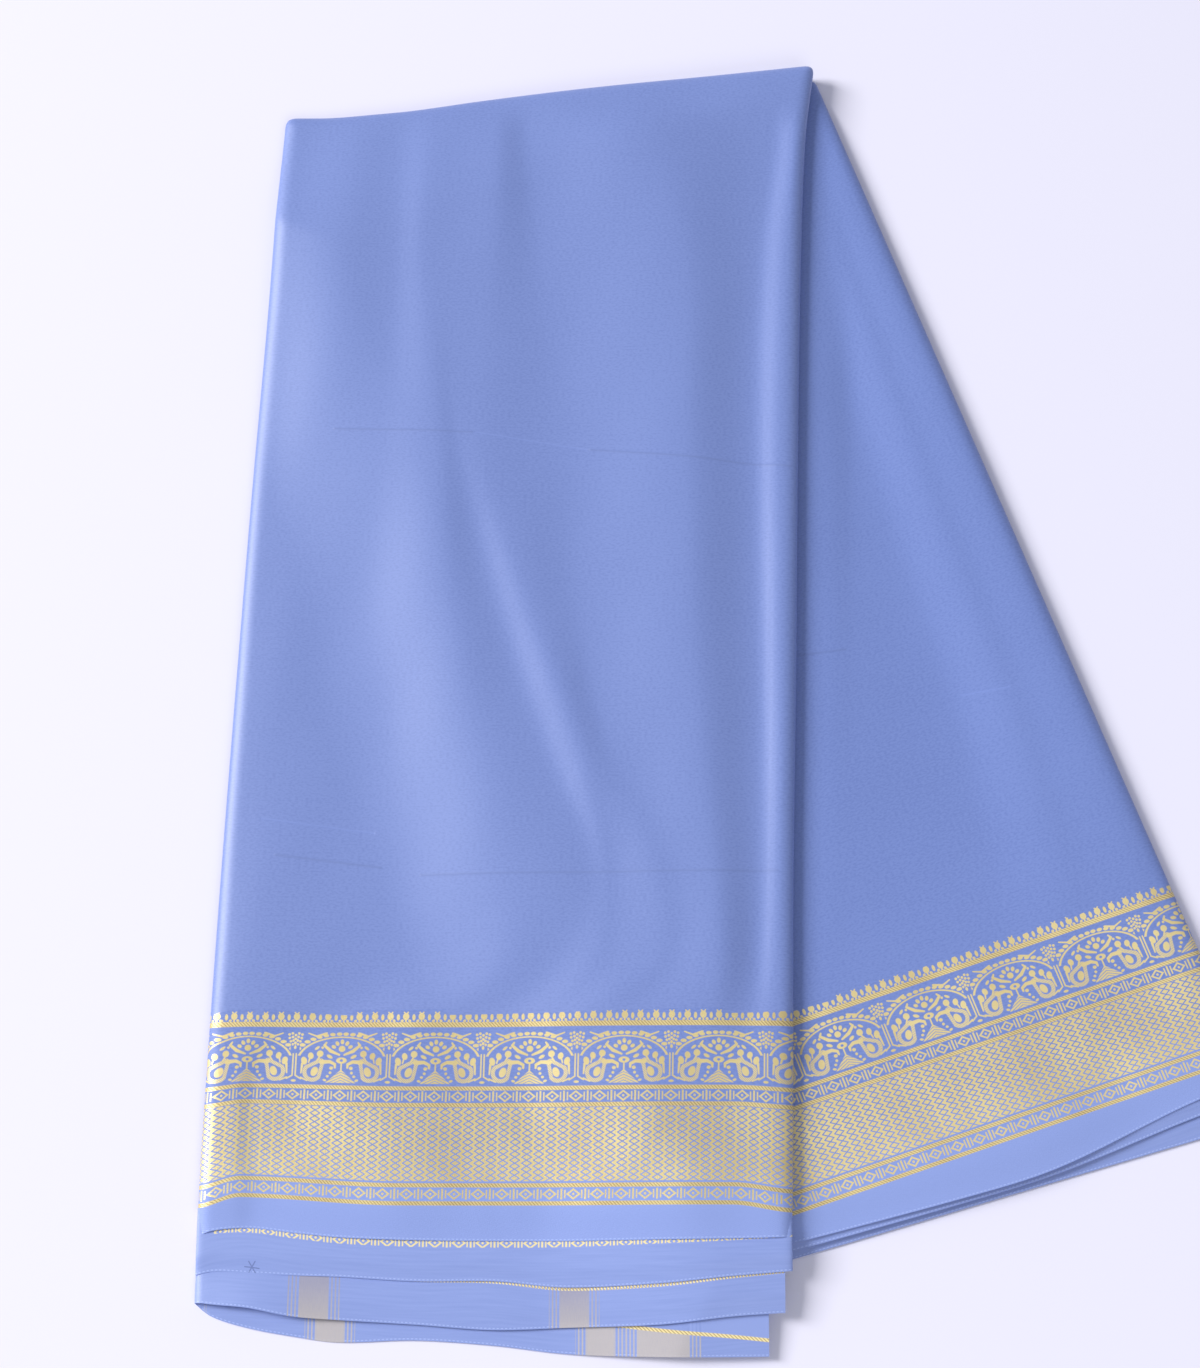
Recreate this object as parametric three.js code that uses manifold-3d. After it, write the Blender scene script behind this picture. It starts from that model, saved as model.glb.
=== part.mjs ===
// A folded saree: one long cloth folded selvedge to selvedge, folded again into a narrow pile,
// and the pile fanned into two leaves that share their far right corner.
// Millimetres, +Z up. The pile lies on z = 0 and +Y runs from the hem to the centre fold.
import * as THREE from 'three';
import { mergeVertices } from 'three/addons/utils/BufferGeometryUtils.js';
import Module from 'manifold-3d';

const wasm = await Module();
wasm.setup();

// Driving dimensions
const LOOM_WIDTH = 1164;      // selvedge to selvedge; the centre fold halves it
const PANEL_WIDTH = 273;      // one of the lengthways folds
const LEAF_HEIGHT = 7;        // two dozen thicknesses of cloth, pressed
const PLY = 1.4;              // wall of a stretch of cloth that shows
const SEAT = 0.3;             // space between pieces that touch
const FAN_TILT = 20.5;        // degrees that the back leaf leans away from +Y
const DRAPE_RUN = 40;         // the front leaf comes down to the floor over this length
const FRONT_LAYERS_END = -261;  // y where the front leaf's hidden layers stop
const BACK_LAYERS_SHORT = 34;   // the back leaf's stop this far from its lowest hem

const LIFT = LEAF_HEIGHT + SEAT;
const LEAF_LENGTH = LOOM_WIDTH / 2;
const HEM_PITCH = (LEAF_HEIGHT - PLY) / 3;
const HEM_PLY = HEM_PITCH - 2 * SEAT;
const BACK_HEM_PLY = (LEAF_HEIGHT - PLY) / 2 - SEAT;
const LAYERS_DEPTH = PLY + 1.5 * SEAT;
const FRONT_GRID = { across: 14, down: 24 };
const BACK_GRID = { across: 10, down: 16 };

// How far the rolled edges run in from the outline, and how many bands round them
const ROLL = { left: 12, far: 8, right: 8, bands: 3, cornerPull: 0.72 };

// Layered edge of the hidden layers, below the lip of the wrapping panel:
// out is measured from the outline, up from what the leaf lies on
const LAYER_RIM = [
  { out: -1.9, up: 3.2 },
  { out: -0.5, up: 2.5 },
  { out: -1.8, up: 1.7 },
  { out: -0.4, up: 0.9 },
  { out: -1.9, up: 0 },
];

// Front leaf: x of its long edges down the leaf, and y of its ends across it
const FRONT_EDGES = [
  { down: 0.00, left: -229.1, right: 48.9 },
  { down: 0.07, left: -231.2, right: 43.4 },
  { down: 0.18, left: -234.0, right: 39.6 },
  { down: 0.34, left: -238.8, right: 36.1 },
  { down: 0.55, left: -243.8, right: 32.4 },
  { down: 0.73, left: -247.6, right: 28.8 },
  { down: 0.93, left: -251.0, right: 26.2 },
  { down: 1.00, left: -251.4, right: 24.8 },
];
const FRONT_ENDS = [
  { across: 0.00, fold: 301.0, top: -274.3, second: -291.8, pallu: -303.9, lowest: -305.0 },
  { across: 0.03, fold: 300.9, top: -271.6, second: -290.2, pallu: -305.0, lowest: -310.6 },
  { across: 0.09, fold: 301.0, top: -270.6, second: -290.9, pallu: -306.5, lowest: -315.5 },
  { across: 0.16, fold: 302.4, top: -272.7, second: -291.9, pallu: -310.2, lowest: -319.0 },
  { across: 0.24, fold: 304.4, top: -274.8, second: -292.6, pallu: -311.9, lowest: -321.8 },
  { across: 0.37, fold: 309.6, top: -276.1, second: -294.6, pallu: -314.0, lowest: -321.0 },
  { across: 0.50, fold: 314.2, top: -276.5, second: -294.6, pallu: -316.4, lowest: -323.3 },
  { across: 0.62, fold: 317.8, top: -276.6, second: -294.3, pallu: -315.4, lowest: -327.0 },
  { across: 0.78, fold: 321.9, top: -276.0, second: -294.0, pallu: -315.7, lowest: -328.4 },
  { across: 0.90, fold: 325.2, top: -275.6, second: -293.6, pallu: -310.8, lowest: -328.4 },
  { across: 1.00, fold: 328.2, top: -275.0, second: -293.0, pallu: -311.4, lowest: -328.0 },
];

// Back leaf: its far right corner, and how far each layer's edge stops short of the lowest one
const BACK_CORNER = new THREE.Vector2(49.1, 324.3);
const BACK_HEM = { leftX: 24.8, leftY: -284.8, rightX: 218.4, rightY: -229.3 };
const BACK_SHORT = [
  { across: 0.00, top: 8.0, second: 4.0 },
  { across: 0.45, top: 4.6, second: 2.4 },
  { across: 0.62, top: 5.6, second: 3.2 },
  { across: 0.87, top: 16.6, second: 9.9 },
  { across: 1.00, top: 20.0, second: 12.0 },
];

// Largest folds of the surfaces: a straight crest or trough each, fading at its ends
const FRONT_FOLDS = [
  { name: 'trough by the right roll', x0: -6, y0: 300, x1: 2, y1: -120, rise: -1.3, half: 17 },
  { name: 'hollow under the centre fold', x0: -99, y0: 300, x1: -116, y1: 180, rise: -1.1, half: 22 },
  { name: 'crest over the back leaf', x0: -121, y0: 100, x1: -62, y1: -110, rise: 1.1, half: 18 },
  { name: 'crest inside the left roll', x0: -207, y0: 285, x1: -229, y1: -250, rise: 0.8, half: 11 },
];
const BACK_FOLDS = [
  { name: 'crest inside the right roll', x0: 62, y0: 250, x1: 215, y1: -150, rise: 0.7, half: 12 },
  { name: 'trough along the middle', x0: 75, y0: 140, x1: 160, y1: -130, rise: -0.7, half: 20 },
];

const MOUTH = { across: 0.1, half: 0.11, lift: 2.4 };

// Middle of the whole outline, which goes over the origin
const CENTRE = { x: 0.517, y: -1.383 };

const COLOURS = {
  silk: 0x8b9fdc,
  silkShade: 0x7c90cc,
  hem: 0x97a9e6,
  pallu: 0x8fa2e0,
};

// A value read from a table by straight steps between its rows
function read(table, key, at, column) {
  const last = table.length - 1;
  if (at <= table[0][key]) return table[0][column];
  if (at >= table[last][key]) return table[last][column];
  const n = table.findIndex((row) => row[key] > at);
  const low = table[n - 1];
  const high = table[n];
  return THREE.MathUtils.mapLinear(at, low[key], high[key], low[column], high[column]);
}

// The outline of the back leaf, from its corner, width and lean
const lean = THREE.MathUtils.degToRad(FAN_TILT);
const alongBack = new THREE.Vector2(Math.sin(lean), -Math.cos(lean));
const acrossBack = new THREE.Vector2(Math.cos(lean), Math.sin(lean));
const hemSlope = (BACK_HEM.rightY - BACK_HEM.leftY) / (BACK_HEM.rightX - BACK_HEM.leftX);

// Where a line down the back leaf meets its lowest hem
function onBackHem(start) {
  const hemY = BACK_HEM.leftY + hemSlope * (start.x - BACK_HEM.leftX);
  const length = (start.y - hemY) / (Math.cos(lean) + hemSlope * Math.sin(lean));
  return start.clone().addScaledVector(alongBack, length);
}
const backFarLeft = BACK_CORNER.clone().addScaledVector(acrossBack, -PANEL_WIDTH);
const backOutline = [BACK_CORNER, onBackHem(BACK_CORNER), onBackHem(backFarLeft), backFarLeft];

// Distance of a place from the back leaf's outline, negative over the leaf
function pastBackLeaf(x, y) {
  let far = -Infinity;
  backOutline.forEach((start, n) => {
    const end = backOutline[(n + 1) % backOutline.length];
    const edge = end.clone().sub(start).normalize();
    far = Math.max(far, (x - start.x) * -edge.y + (y - start.y) * edge.x);
  });
  return far;
}

// Height of what lies under the front leaf: the back leaf, then a slope, then the floor
function support(x, y) {
  return LIFT * THREE.MathUtils.smoothstep(DRAPE_RUN - pastBackLeaf(x, y), 0, DRAPE_RUN + 2);
}
const floor = () => 0;

function foldRise(folds, x, y) {
  let rise = 0;
  for (const fold of folds) {
    const run = new THREE.Vector2(fold.x1 - fold.x0, fold.y1 - fold.y0);
    const length = run.length();
    run.divideScalar(length);
    const t = ((x - fold.x0) * run.x + (y - fold.y0) * run.y) / length;
    const side = (x - fold.x0) * -run.y + (y - fold.y0) * run.x;
    const fade = THREE.MathUtils.smoothstep(Math.min(t, 1 - t), -0.12, 0.12);
    rise += fold.rise * fade * Math.exp(-((side / fold.half) ** 2));
  }
  return rise;
}

// Plan of the front leaf at a share across and down it, as far as its top hem
function frontPlan(across, down) {
  const x = THREE.MathUtils.lerp(
    read(FRONT_EDGES, 'down', down, 'left'),
    read(FRONT_EDGES, 'down', down, 'right'),
    across,
  );
  const y = THREE.MathUtils.lerp(
    read(FRONT_ENDS, 'across', across, 'fold'),
    read(FRONT_ENDS, 'across', across, 'top'),
    down,
  );
  return [x, y];
}

// Plan of the back leaf; short is how far the end stops from the lowest hem
function backPlan(across, down, short) {
  const start = backFarLeft.clone().lerp(BACK_CORNER, across);
  const end = onBackHem(start).addScaledVector(alongBack, -short(across));
  const spot = start.lerp(end, down);
  return [spot.x, spot.y];
}

// Faces of a sheet that covers a leaf: a grid, and bands that roll down its edges.
// The edge's stations run up the left side, along the far fold and down the right side,
// and back along the hem where the bands go all round.
function rolledSheet(across, down, bands, allRound = false) {
  const rows = down + 1;
  const columns = across + 1;
  const flat = (i, j) => j * columns + i;
  const edge = [];
  for (let j = down; j > 0; j -= 1) edge.push([0, j]);
  for (let i = 0; i < across; i += 1) edge.push([i, 0]);
  for (let j = 0; j <= down; j += 1) edge.push([across, j]);
  if (allRound) for (let i = across - 1; i > 0; i -= 1) edge.push([i, down]);
  const band = (k, m) => {
    const station = m % edge.length;
    return k === 0 ? flat(...edge[station]) : rows * columns + (k - 1) * edge.length + station;
  };
  const faces = [];
  const quad = (a, b, c, d) => faces.push([a, b, c], [a, c, d]);
  for (let j = 0; j < down; j += 1) {
    for (let i = 0; i < across; i += 1) {
      quad(flat(i, j), flat(i, j + 1), flat(i + 1, j + 1), flat(i + 1, j));
    }
  }
  const steps = allRound ? edge.length : edge.length - 1;
  for (let k = 0; k < bands; k += 1) {
    for (let m = 0; m < steps; m += 1) {
      quad(band(k, m), band(k, m + 1), band(k + 1, m + 1), band(k + 1, m));
    }
  }
  const foot = (i, j) => band(bands, edge.findIndex(([p, q]) => p === i && q === j));
  return { across, down, edge, faces, foot };
}

// Points of such a sheet. profile[k] gives how far band k lies out of the grid and its height;
// trim, where the sheet has one, pulls the points that lie past its line back to it.
function sheetPoints(sheet, leaf, profile, trim = (spot) => spot) {
  const points = [];
  const far = ROLL.far / LEAF_LENGTH;
  const left = ROLL.left / PANEL_WIDTH;
  const right = ROLL.right / PANEL_WIDTH;
  const place = (i, j, out) => {
    const corner = j === 0 && (i === 0 || i === sheet.across);
    const pull = corner ? ROLL.cornerPull : 1;
    let across = THREE.MathUtils.lerp(left, 1 - right, i / sheet.across);
    let down = THREE.MathUtils.lerp(far, 1, j / sheet.down);
    if (i === 0) across -= left * out(ROLL.left) * pull;
    if (i === sheet.across) across += right * out(ROLL.right) * pull;
    if (j === 0) down -= far * out(ROLL.far) * pull;
    return trim(leaf.plan(across, down));
  };
  const put = (i, j, band) => {
    const [x, y] = place(i, j, band.out);
    const [outerX, outerY] = place(i, j, () => band.reach);
    const under = band.grounded ? 0 : leaf.under(outerX, outerY);
    points.push(new THREE.Vector3(x, y, under + band.up + leaf.rise(outerX, outerY) * band.ease));
  };
  for (let j = 0; j <= sheet.down; j += 1) {
    for (let i = 0; i <= sheet.across; i += 1) put(i, j, profile[0]);
  }
  for (const band of profile.slice(1)) {
    for (const [i, j] of sheet.edge) put(i, j, band);
  }
  return points;
}

// Pulls a spot that lies past a line back to it, along the leaf
function trimAt(line, along) {
  return ([x, y]) => {
    const past = (x - line.x) * line.normal.x + (y - line.y) * line.normal.y;
    if (past <= 0) return [x, y];
    const back = past / along.dot(line.normal);
    return [x - along.x * back, y - along.y * back];
  };
}

// Rounded edge of a skin that lies a given depth below the leaf's outer surface
function rollProfile(depth) {
  const bands = [];
  for (let k = 0; k <= ROLL.bands; k += 1) {
    const turn = (k / ROLL.bands) * (Math.PI / 2);
    bands.push({
      out: (run) => (Math.sin(turn) * (run - depth)) / run,
      reach: Math.sin(turn),
      up: LEAF_HEIGHT / 2 + (LEAF_HEIGHT / 2 - depth) * Math.cos(turn),
      ease: Math.cos(turn),
    });
  }
  return bands;
}

function geometryFrom(points, faces) {
  const geometry = new THREE.BufferGeometry().setFromPoints(points);
  geometry.setIndex(faces.flat());
  return geometry;
}

// Edges that only one face uses, in the direction that the face runs them
function openEdges(faces) {
  const edges = new Map();
  for (const face of faces) {
    face.forEach((from, n) => {
      const to = face[(n + 1) % 3];
      if (!edges.delete(`${to}_${from}`)) edges.set(`${from}_${to}`, [from, to]);
    });
  }
  return [...edges.values()];
}

// A closed wall between an outer and an inner skin that share their faces
function wallBetween(outer, inner, faces) {
  const shift = outer.length;
  const closed = [...faces];
  for (const [a, b, c] of faces) closed.push([a + shift, c + shift, b + shift]);
  for (const [a, b] of openEdges(faces)) {
    closed.push([a, a + shift, b + shift], [a, b + shift, b]);
  }
  return geometryFrom([...outer, ...inner], closed);
}

// Flat underside inside the lowest band of a sheet whose bands go all round
function undersideFaces({ across, down, foot }) {
  const faces = [];
  for (let i = 0; i < across; i += 1) {
    faces.push([foot(0, 1), foot(i, 0), foot(i + 1, 0)]);
    faces.push([foot(0, down - 1), foot(i + 1, down), foot(i, down)]);
  }
  faces.push([foot(0, 1), foot(across, 0), foot(across, 1)]);
  faces.push([foot(0, down - 1), foot(across, down - 1), foot(across, down)]);
  for (let j = 1; j < down - 1; j += 1) {
    faces.push([foot(0, j), foot(across, j), foot(across, j + 1)]);
    faces.push([foot(0, j), foot(across, j + 1), foot(0, j + 1)]);
  }
  return faces;
}

// The hidden layers of a leaf: one rounded solid, layered at the edges and flat underneath
function layersGeometry(leaf, { across, down }) {
  const layers = LAYER_RIM.map(({ out, up }) => ({
    out: (run) => (run + out) / run,
    reach: 1,
    up,
    ease: 0,
    grounded: up === 0,
  }));
  const profile = [...rollProfile(LAYERS_DEPTH), ...layers];
  const sheet = rolledSheet(across, down, profile.length - 1, true);
  const points = sheetPoints(sheet, leaf, profile, leaf.trim);
  return geometryFrom(points, [...sheet.faces, ...undersideFaces(sheet)]);
}

// The stretch of cloth that wraps a leaf: over its top and round three of its edges
function wrapGeometry(leaf, { across, down }) {
  const sheet = rolledSheet(across, down, ROLL.bands);
  const outer = sheetPoints(sheet, leaf, rollProfile(0));
  const inner = sheetPoints(sheet, leaf, rollProfile(PLY));
  return wallBetween(outer, inner, sheet.faces);
}

// A strip of cloth that shows past the hem of the panel above it. Its first two rows are still
// under that panel and narrower, to pass inside the rolled edges; then it spreads to full width.
// start, topHem and hem give places across the leaf, and lift is how far its edge stands up.
function stripGeometry({ grid, start, topHem, hem, under, low, thick, lift = () => 0 }) {
  const rows = 5;
  const tuckedRows = 1;
  const sheet = rolledSheet(grid.across, rows, 0);
  const top = [];
  const bottom = [];
  for (let j = 0; j <= rows; j += 1) {
    for (let i = 0; i <= grid.across; i += 1) {
      const tucked = THREE.MathUtils.lerp(
        ROLL.left / PANEL_WIDTH,
        1 - ROLL.right / PANEL_WIDTH,
        i / grid.across,
      );
      const atSide = i === 0 || i === grid.across;
      const across = atSide && j > tuckedRows ? i / grid.across : tucked;
      const pastHem = Math.max(j - tuckedRows, 0) / (rows - tuckedRows);
      const spot = j === 0 ? start(across) : topHem(across).lerp(hem(across), pastHem);
      const stand = lift(across) * THREE.MathUtils.smoothstep(pastHem, 0.5, 1);
      const base = under(spot.x, spot.y) + low + stand;
      top.push(new THREE.Vector3(spot.x, spot.y, base + thick));
      bottom.push(new THREE.Vector3(spot.x, spot.y, base));
    }
  }
  return wallBetween(top, bottom, sheet.faces);
}

function toSolid(geometry) {
  const bare = geometry.index ? geometry.toNonIndexed() : geometry.clone();
  bare.deleteAttribute('normal');
  bare.deleteAttribute('uv');
  const merged = mergeVertices(bare);
  return new wasm.Manifold(new wasm.Mesh({
    numProp: 3,
    vertProperties: new Float32Array(merged.attributes.position.array),
    triVerts: new Uint32Array(merged.index.array),
  }));
}

function fromSolid(solid) {
  const mesh = solid.getMesh();
  const geometry = new THREE.BufferGeometry();
  geometry.setAttribute('position', new THREE.Float32BufferAttribute(mesh.vertProperties, 3));
  geometry.setIndex([...mesh.triVerts]);
  return geometry;
}

// The room that the back leaf takes, with the space that pieces keep round it
function backRoom() {
  const middle = backOutline[0].clone().lerp(backOutline[2], 0.5);
  const shape = new THREE.Shape(backOutline.map((corner) => {
    const away = corner.clone().sub(middle).normalize();
    return corner.clone().addScaledVector(away, 2 * SEAT);
  }));
  const room = new THREE.ExtrudeGeometry(shape, { depth: 2 * LIFT, bevelEnabled: false });
  room.translate(0, 0, -LIFT);
  return room;
}

function clearOfBackLeaf(geometry) {
  return fromSolid(toSolid(geometry).subtract(toSolid(backRoom())));
}

const frontLayersEnd = { x: 0, y: FRONT_LAYERS_END, normal: new THREE.Vector2(0, -1) };
const frontLeaf = {
  plan: (across, down) => frontPlan(across, down),
  trim: trimAt(frontLayersEnd, frontLayersEnd.normal),
  under: support,
  rise: (x, y) => foldRise(FRONT_FOLDS, x, y),
};

// The back leaf's folds fade out under the front leaf, where it lies pressed flat
function backRise(x, y) {
  const down = THREE.MathUtils.mapLinear(y, 328, -275, 0, 1);
  const clear = x - read(FRONT_EDGES, 'down', down, 'right');
  return foldRise(BACK_FOLDS, x, y) * THREE.MathUtils.smoothstep(clear, 12, 40);
}
const backShort = (column) => (across) => read(BACK_SHORT, 'across', across, column);
const backHemNormal = new THREE.Vector2(hemSlope, -1).normalize();
const backLayersEnd = {
  x: BACK_HEM.leftX - backHemNormal.x * BACK_LAYERS_SHORT,
  y: BACK_HEM.leftY - backHemNormal.y * BACK_LAYERS_SHORT,
  normal: backHemNormal,
};
const backLeaf = {
  plan: (across, down) => backPlan(across, down, backShort('top')),
  trim: trimAt(backLayersEnd, alongBack),
  under: floor,
  rise: backRise,
};

function frontStrip(column, low, lift) {
  const spot = (across, y) => new THREE.Vector2(frontPlan(across, 1)[0], y);
  return stripGeometry({
    grid: FRONT_GRID,
    start: (across) => spot(across, FRONT_LAYERS_END - SEAT),
    topHem: (across) => spot(across, read(FRONT_ENDS, 'across', across, 'top') - SEAT),
    hem: (across) => spot(across, read(FRONT_ENDS, 'across', across, column)),
    under: support,
    low,
    thick: HEM_PLY,
    lift,
  });
}

function backStrip(short, low) {
  const start = (BACK_LAYERS_SHORT - SEAT) / alongBack.dot(backHemNormal);
  const spot = (across, away) => new THREE.Vector2(...backPlan(across, 1, () => away));
  return stripGeometry({
    grid: BACK_GRID,
    start: (across) => spot(across, start),
    topHem: (across) => spot(across, backShort('top')(across) - SEAT),
    hem: (across) => spot(across, short(across)),
    under: floor,
    low,
    thick: BACK_HEM_PLY,
  });
}

// The pallu's fold stands up at its left end, like the mouth of a flat tube
const mouthLift = (across) => MOUTH.lift * Math.exp(-(((across - MOUTH.across) / MOUTH.half) ** 2));

function namedMesh(name, geometry, colour, roughness) {
  const material = new THREE.MeshStandardMaterial({ color: colour, roughness, metalness: 0 });
  const mesh = new THREE.Mesh(geometry, material);
  mesh.name = name;
  return mesh;
}

const frontLayers = clearOfBackLeaf(layersGeometry(frontLeaf, FRONT_GRID));
const frontSecond = frontStrip('second', 2 * HEM_PITCH);
const frontPallu = frontStrip('pallu', HEM_PITCH, mouthLift);
const frontLowest = clearOfBackLeaf(frontStrip('lowest', 0));
const backSecond = backStrip(backShort('second'), BACK_HEM_PLY + SEAT);
const backLowest = backStrip(() => 0, 0);

const saree = new THREE.Group();
saree.add(
  namedMesh('front_leaf_wrap', wrapGeometry(frontLeaf, FRONT_GRID), COLOURS.silk, 0.55),
  namedMesh('front_leaf_layers', frontLayers, COLOURS.silkShade, 0.6),
  namedMesh('front_second_hem', frontSecond, COLOURS.hem, 0.55),
  namedMesh('front_pallu_hem', frontPallu, COLOURS.pallu, 0.55),
  namedMesh('front_lowest_hem', frontLowest, COLOURS.pallu, 0.55),
  namedMesh('back_leaf_wrap', wrapGeometry(backLeaf, BACK_GRID), COLOURS.silk, 0.55),
  namedMesh('back_leaf_layers', layersGeometry(backLeaf, BACK_GRID), COLOURS.silkShade, 0.6),
  namedMesh('back_second_hem', backSecond, COLOURS.hem, 0.55),
  namedMesh('back_lowest_hem', backLowest, COLOURS.pallu, 0.55),
);

saree.position.set(-CENTRE.x, -CENTRE.y, 0);

export default saree;
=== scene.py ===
import math

import bpy
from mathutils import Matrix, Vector


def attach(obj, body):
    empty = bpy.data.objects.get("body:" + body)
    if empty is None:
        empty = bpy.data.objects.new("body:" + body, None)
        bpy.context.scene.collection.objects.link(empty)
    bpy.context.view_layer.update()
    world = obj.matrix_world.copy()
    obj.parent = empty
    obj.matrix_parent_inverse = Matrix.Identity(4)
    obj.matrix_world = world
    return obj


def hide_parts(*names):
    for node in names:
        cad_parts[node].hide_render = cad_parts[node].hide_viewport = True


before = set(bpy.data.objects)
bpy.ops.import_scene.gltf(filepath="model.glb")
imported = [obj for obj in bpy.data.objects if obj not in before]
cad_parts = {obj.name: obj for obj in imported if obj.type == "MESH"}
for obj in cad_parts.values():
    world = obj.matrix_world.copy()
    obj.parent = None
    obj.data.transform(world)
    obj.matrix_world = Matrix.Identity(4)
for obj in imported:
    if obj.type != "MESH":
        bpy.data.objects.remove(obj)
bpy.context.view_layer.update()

# The saree's plan is in millimetres; grid_sheet puts the cloth in metres as it is laid
MM = 0.001
CENTRE = (0.517, -1.383)
LEAF_HEIGHT = 7.0
# The front leaf's height on the back leaf, and how far it takes to come down to the floor:
# near its left edge, and further in
LIFT = 7.3
DRAPE_RUN = 70.0
WIDE_RUN = 85.0
DRAPE_START = 8.0
NEAR_EDGE = 60.0
PANEL_WIDTH = 273.0
LEAF_LENGTH = 582.0
CLOTH = 0.5

# Front leaf: down, left x, right x; and across, centre fold y, then y of each layer's hem
FRONT_EDGES = [
    (0.00, -229.1, 48.9), (0.07, -231.2, 43.4), (0.18, -234.0, 39.6), (0.34, -238.8, 36.1),
    (0.55, -243.8, 32.4), (0.73, -247.6, 28.8), (0.93, -251.0, 26.2), (1.00, -251.4, 24.8),
]
FRONT_ENDS = [
    (0.00, 301.0, -274.3, -291.8, -303.9, -305.0),
    (0.03, 300.9, -271.6, -290.2, -305.0, -310.6),
    (0.09, 301.0, -270.6, -290.9, -306.5, -315.5),
    (0.16, 302.4, -272.7, -291.9, -310.2, -319.0),
    (0.24, 304.4, -274.8, -292.6, -311.9, -321.8),
    (0.37, 309.6, -276.1, -294.6, -314.0, -321.0),
    (0.50, 314.2, -276.5, -294.6, -316.4, -323.3),
    (0.62, 317.8, -276.6, -297.4, -315.4, -327.0),
    (0.78, 321.9, -276.0, -295.6, -314.0, -328.4),
    (0.90, 325.2, -275.6, -292.4, -310.4, -328.4),
    (1.00, 328.2, -275.0, -290.2, -308.6, -328.0),
]
FOLD, TOP_HEM, SECOND_HEM, PALLU_HEM, LOWEST_HEM = 1, 2, 3, 4, 5
FRONT_LAYERS_END = -261.0
FRONT_ROPE = -260.4
# How the front border's lower rope rises and dips beside the rolled edges: by how much, and
# over which distances from the edge
LEFT_RISE, LEFT_DIP, RIGHT_DIP = (4.0, 15.0, 95.0), (5.0, 0.0, 20.0), (3.5, 0.0, 28.0)
# Where the front leaf starts at the far side, and how far it reaches down from there
FRONT_TOP, FRONT_REACH = 328.0, 603.0

# Back leaf: far right corner, lean, line of its lowest hem, and how far each layer stops short
BACK_CORNER = Vector((49.1, 324.3))
BACK_LEAN = math.radians(20.5)
BACK_HEM = (Vector((24.8, -284.8)), Vector((218.4, -229.3)))
BACK_SHORT = [
    (0.00, 8.0, 4.0, 0.0), (0.45, 4.6, 2.4, 0.0), (0.62, 5.6, 3.2, 0.0),
    (0.87, 16.6, 9.9, 0.0), (1.00, 20.0, 12.0, 0.0),
]
BACK_LAYERS_SHORT = 34.0
BACK_ROPE = (Vector((26.6, -264.7)), Vector((218.9, -199.6)))

# Soft relief of the front leaf: down it, the x and the height of each ridge and trough in turn
FRONT_RELIEF = [
    (305, (-194, 0.0), (-168, 0.0), (-152, 0.0), (-137, 0.0), (-118, 0.0), (-101, 0.0),
     (-38, 0.0), (27, 0.0), (39, 0.0)),
    (285, (-194, 0.3), (-168, -0.3), (-152, 0.2), (-137, 0.1), (-118, 0.3), (-101, -1.1),
     (-38, 1.2), (27, -1.3), (39, 0.2)),
    (220, (-198, 0.4), (-169, -0.5), (-154, 0.2), (-138, 0.1), (-120, 0.2), (-94, -1.0),
     (-22, 1.6), (18, -1.5), (32, 0.4)),
    (127, (-213, 0.5), (-173, -0.4), (-145, 0.8), (-137, 0.5), (-127, 0.5), (-82, -0.9),
     (-21, 1.8), (14, -1.6), (27, 0.3)),
    (32, (-220, 0.5), (-178, -0.9), (-139, 0.6), (-116, -0.5), (-100, 0.7), (-74, -0.6),
     (-20, 1.9), (14, -1.5), (25, 0.3)),
    (-39, (-225, 0.5), (-169, -0.8), (-127, 0.7), (-93, -0.6), (-75, 0.9), (-60, -0.1),
     (-16, 1.8), (14, -1.3), (24, 0.3)),
    (-103, (-226, 0.6), (-164, -0.6), (-117, 0.7), (-69, -0.8), (-60, -0.5), (-34, 0.9),
     (-10, 1.6), (13, -1.1), (22, 0.2)),
    (-150, (-230, 0.7), (-161, -0.5), (-116, 0.6), (-83, -0.8), (-66, -0.5), (-34, 0.7),
     (-8, 1.7), (11, -0.7), (19, 0.2)),
    (-192, (-234, 0.3), (-222, -0.4), (-162, 0.7), (-122, 0.1), (-110, -0.1), (-90, -0.6),
     (-17, 0.6), (5, 0.1), (17, 0.3)),
    (-262, (-236, 0.2), (-224, -0.4), (-160, 0.6), (-122, 0.1), (-108, -0.1), (-88, -0.6),
     (-24, 0.5), (3, 0.1), (15, 0.2)),
    (-282, (-238, 0.0), (-226, 0.0), (-158, 0.0), (-120, 0.0), (-106, 0.0), (-86, 0.0),
     (-24, 0.0), (3, 0.0), (15, 0.0)),
]
# The same for the back leaf, by distance up the cloth and from its left edge
BACK_RELIEF = [
    (590, (200, 0.0), (225, 0.0), (245, 0.0), (262, 0.0)),
    (560, (230, 0.0), (243, -0.3), (252, 0.0), (264, 0.3)),
    (455, (222, 0.0), (238, -1.2), (250, -0.4), (264, 0.6)),
    (368, (190, 0.0), (222, -2.7), (246, -0.2), (264, 0.8)),
    (279, (152, 0.0), (213, -3.1), (243, -0.2), (264, 0.9)),
    (200, (124, 0.0), (207, -3.1), (240, -0.2), (263, 0.9)),
    (140, (100, 0.0), (196, -2.3), (234, -0.1), (262, 0.8)),
    (85, (75, -0.2), (185, -1.0), (228, 0.1), (258, 0.5)),
    (30, (55, -0.5), (170, 0.7), (218, -0.4), (257, 0.4)),
    (0, (44, -0.5), (165, 0.7), (214, -0.4), (256, 0.3)),
    (-30, (44, 0.0), (165, 0.0), (214, 0.0), (256, 0.0)),
]
FRONT_DEPTH, BACK_DEPTH = 1.35, 1.05

# How far past the outermost ridges the relief fades out, left and right
RELIEF_FADE = (26.0, 12.0)

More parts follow.
